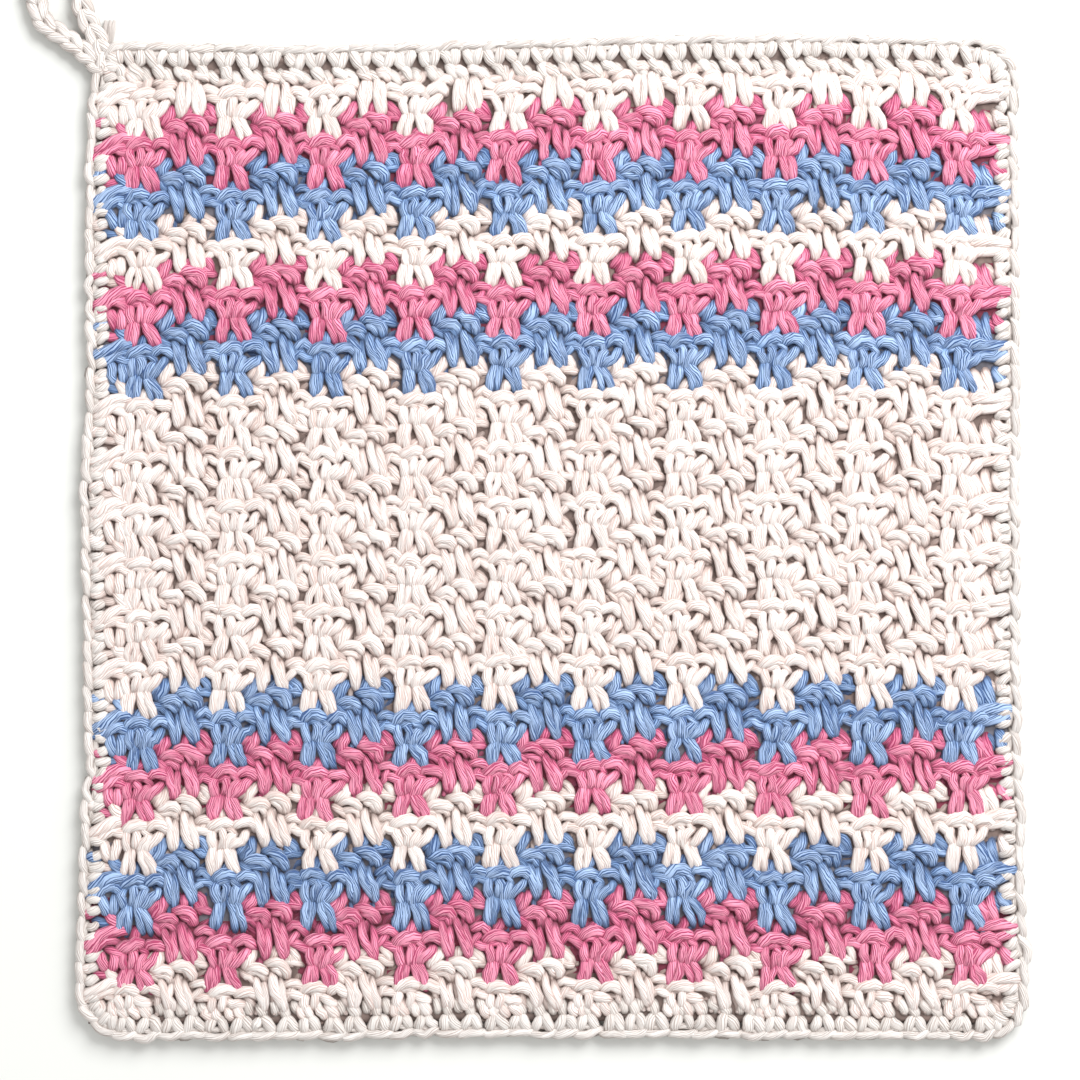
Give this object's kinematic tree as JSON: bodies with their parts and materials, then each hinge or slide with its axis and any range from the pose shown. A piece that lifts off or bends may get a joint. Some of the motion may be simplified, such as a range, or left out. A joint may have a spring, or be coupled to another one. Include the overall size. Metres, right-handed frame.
{
  "type": "dishcloth",
  "caption": "Square crocheted cotton dishcloth lying flat, worked in coloured bands, with a worked border and a chain loop at one corner for hanging.",
  "frame": {"origin": "middle of the cloth on its underside, which lies on the surface", "axes": "+X to the right and +Y towards the edge with the hanging loop, seen from above; +Z out of the cloth's face"},
  "size_m": [0.2719, 0.3015, 0.0046],
  "materials": {
    "cream_yarn": "matte cream cotton yarn, softly spun in several plies",
    "pink_yarn": "matte rose pink cotton yarn",
    "blue_yarn": "matte light blue cotton yarn",
    "border_yarn": "matte off-white cotton yarn",
    "loop_yarn": "matte off-white cotton yarn, chained"
  },
  "bodies": {
    "root": {"cloth": "cream_yarn", "edging": "border_yarn", "hanging_loop": "loop_yarn"}
  },
  "joints": []
}
